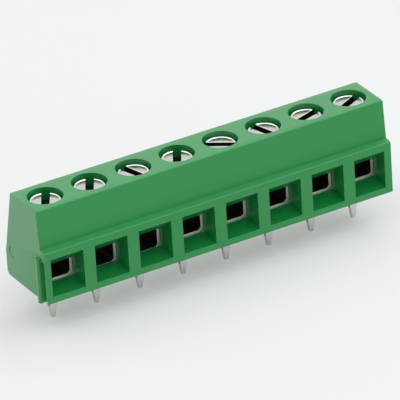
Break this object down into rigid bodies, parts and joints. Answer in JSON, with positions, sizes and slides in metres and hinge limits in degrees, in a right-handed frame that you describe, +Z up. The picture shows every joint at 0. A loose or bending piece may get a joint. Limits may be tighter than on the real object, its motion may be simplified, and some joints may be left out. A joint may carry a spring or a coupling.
{
  "type": "pcb screw terminal",
  "caption": "Green screw terminal block for a circuit board: wire entries along the front, slotted clamp screws in the top, flat solder pins below.",
  "frame": {"origin": "on the board plane, in the middle of the row of solder pins", "axes": "+X along the row to the right as seen from the wire side, +Y away from the wire side, +Z up from the board"},
  "size_m": [0.0411, 0.0084, 0.0139],
  "materials": {
    "green_moulding": "moulded polyamide, satin, with a fine grain",
    "screw_steel": "bright nickel plate on turned steel",
    "sleeve_steel": "nickel plate on folded strip",
    "contact_tin": "satin tin plate on bent strip"
  },
  "bodies": {
    "block": {"housing": "green_moulding", "contact_1": "contact_tin", "contact_2": "contact_tin", "contact_3": "contact_tin", "contact_4": "contact_tin", "contact_5": "contact_tin", "contact_6": "contact_tin", "contact_7": "contact_tin", "contact_8": "contact_tin"},
    "screw_1": {"screw_1": "screw_steel"},
    "cage_1": {"cage_1": "sleeve_steel"},
    "screw_2": {"screw_2": "screw_steel"},
    "cage_2": {"cage_2": "sleeve_steel"},
    "screw_3": {"screw_3": "screw_steel"},
    "cage_3": {"cage_3": "sleeve_steel"},
    "screw_4": {"screw_4": "screw_steel"},
    "cage_4": {"cage_4": "sleeve_steel"},
    "screw_5": {"screw_5": "screw_steel"},
    "cage_5": {"cage_5": "sleeve_steel"},
    "screw_6": {"screw_6": "screw_steel"},
    "cage_6": {"cage_6": "sleeve_steel"},
    "screw_7": {"screw_7": "screw_steel"},
    "cage_7": {"cage_7": "sleeve_steel"},
    "screw_8": {"screw_8": "screw_steel"},
    "cage_8": {"cage_8": "sleeve_steel"}
  },
  "joints": [
    {"name": "screw_turn_1", "type": "hinge", "parent": "block", "child": "screw_1", "pos_m": [-0.01778, -0.0003, 0], "axis": [0, 0, -1], "range_deg": [-216, 1264]},
    {"name": "cage_rise_1", "type": "slide", "parent": "block", "child": "cage_1", "axis": [0, 0, 1], "range_m": [-0.00027, 0.00158]},
    {"name": "screw_turn_2", "type": "hinge", "parent": "block", "child": "screw_2", "pos_m": [-0.0127, -0.0003, 0], "axis": [0, 0, -1], "range_deg": [0, 1480]},
    {"name": "cage_rise_2", "type": "slide", "parent": "block", "child": "cage_2", "axis": [0, 0, 1], "range_m": [0, 0.00185]},
    {"name": "screw_turn_3", "type": "hinge", "parent": "block", "child": "screw_3", "pos_m": [-0.00762, -0.0003, 0], "axis": [0, 0, -1], "range_deg": [0, 1480]},
    {"name": "cage_rise_3", "type": "slide", "parent": "block", "child": "cage_3", "axis": [0, 0, 1], "range_m": [0, 0.00185]},
    {"name": "screw_turn_4", "type": "hinge", "parent": "block", "child": "screw_4", "pos_m": [-0.00254, -0.0003, 0], "axis": [0, 0, -1], "range_deg": [-216, 1264]},
    {"name": "cage_rise_4", "type": "slide", "parent": "block", "child": "cage_4", "axis": [0, 0, 1], "range_m": [-0.00027, 0.00158]},
    {"name": "screw_turn_5", "type": "hinge", "parent": "block", "child": "screw_5", "pos_m": [0.00254, -0.0003, 0], "axis": [0, 0, -1], "range_deg": [-216, 1264]},
    {"name": "cage_rise_5", "type": "slide", "parent": "block", "child": "cage_5", "axis": [0, 0, 1], "range_m": [-0.00027, 0.00158]},
    {"name": "screw_turn_6", "type": "hinge", "parent": "block", "child": "screw_6", "pos_m": [0.00762, -0.0003, 0], "axis": [0, 0, -1], "range_deg": [-216, 1264]},
    {"name": "cage_rise_6", "type": "slide", "parent": "block", "child": "cage_6", "axis": [0, 0, 1], "range_m": [-0.00027, 0.00158]},
    {"name": "screw_turn_7", "type": "hinge", "parent": "block", "child": "screw_7", "pos_m": [0.0127, -0.0003, 0], "axis": [0, 0, -1], "range_deg": [-216, 1264]},
    {"name": "cage_rise_7", "type": "slide", "parent": "block", "child": "cage_7", "axis": [0, 0, 1], "range_m": [-0.00027, 0.00158]},
    {"name": "screw_turn_8", "type": "hinge", "parent": "block", "child": "screw_8", "pos_m": [0.01778, -0.0003, 0], "axis": [0, 0, -1], "range_deg": [-216, 1264]},
    {"name": "cage_rise_8", "type": "slide", "parent": "block", "child": "cage_8", "axis": [0, 0, 1], "range_m": [-0.00027, 0.00158]}
  ],
  "couplings": [
    {"joint": "screw_turn_1", "follows": "cage_rise_1", "rad_per_m": 13963},
    {"joint": "screw_turn_2", "follows": "cage_rise_2", "rad_per_m": 13963},
    {"joint": "screw_turn_3", "follows": "cage_rise_3", "rad_per_m": 13963},
    {"joint": "screw_turn_4", "follows": "cage_rise_4", "rad_per_m": 13963},
    {"joint": "screw_turn_5", "follows": "cage_rise_5", "rad_per_m": 13963},
    {"joint": "screw_turn_6", "follows": "cage_rise_6", "rad_per_m": 13963},
    {"joint": "screw_turn_7", "follows": "cage_rise_7", "rad_per_m": 13963},
    {"joint": "screw_turn_8", "follows": "cage_rise_8", "rad_per_m": 13963}
  ]
}
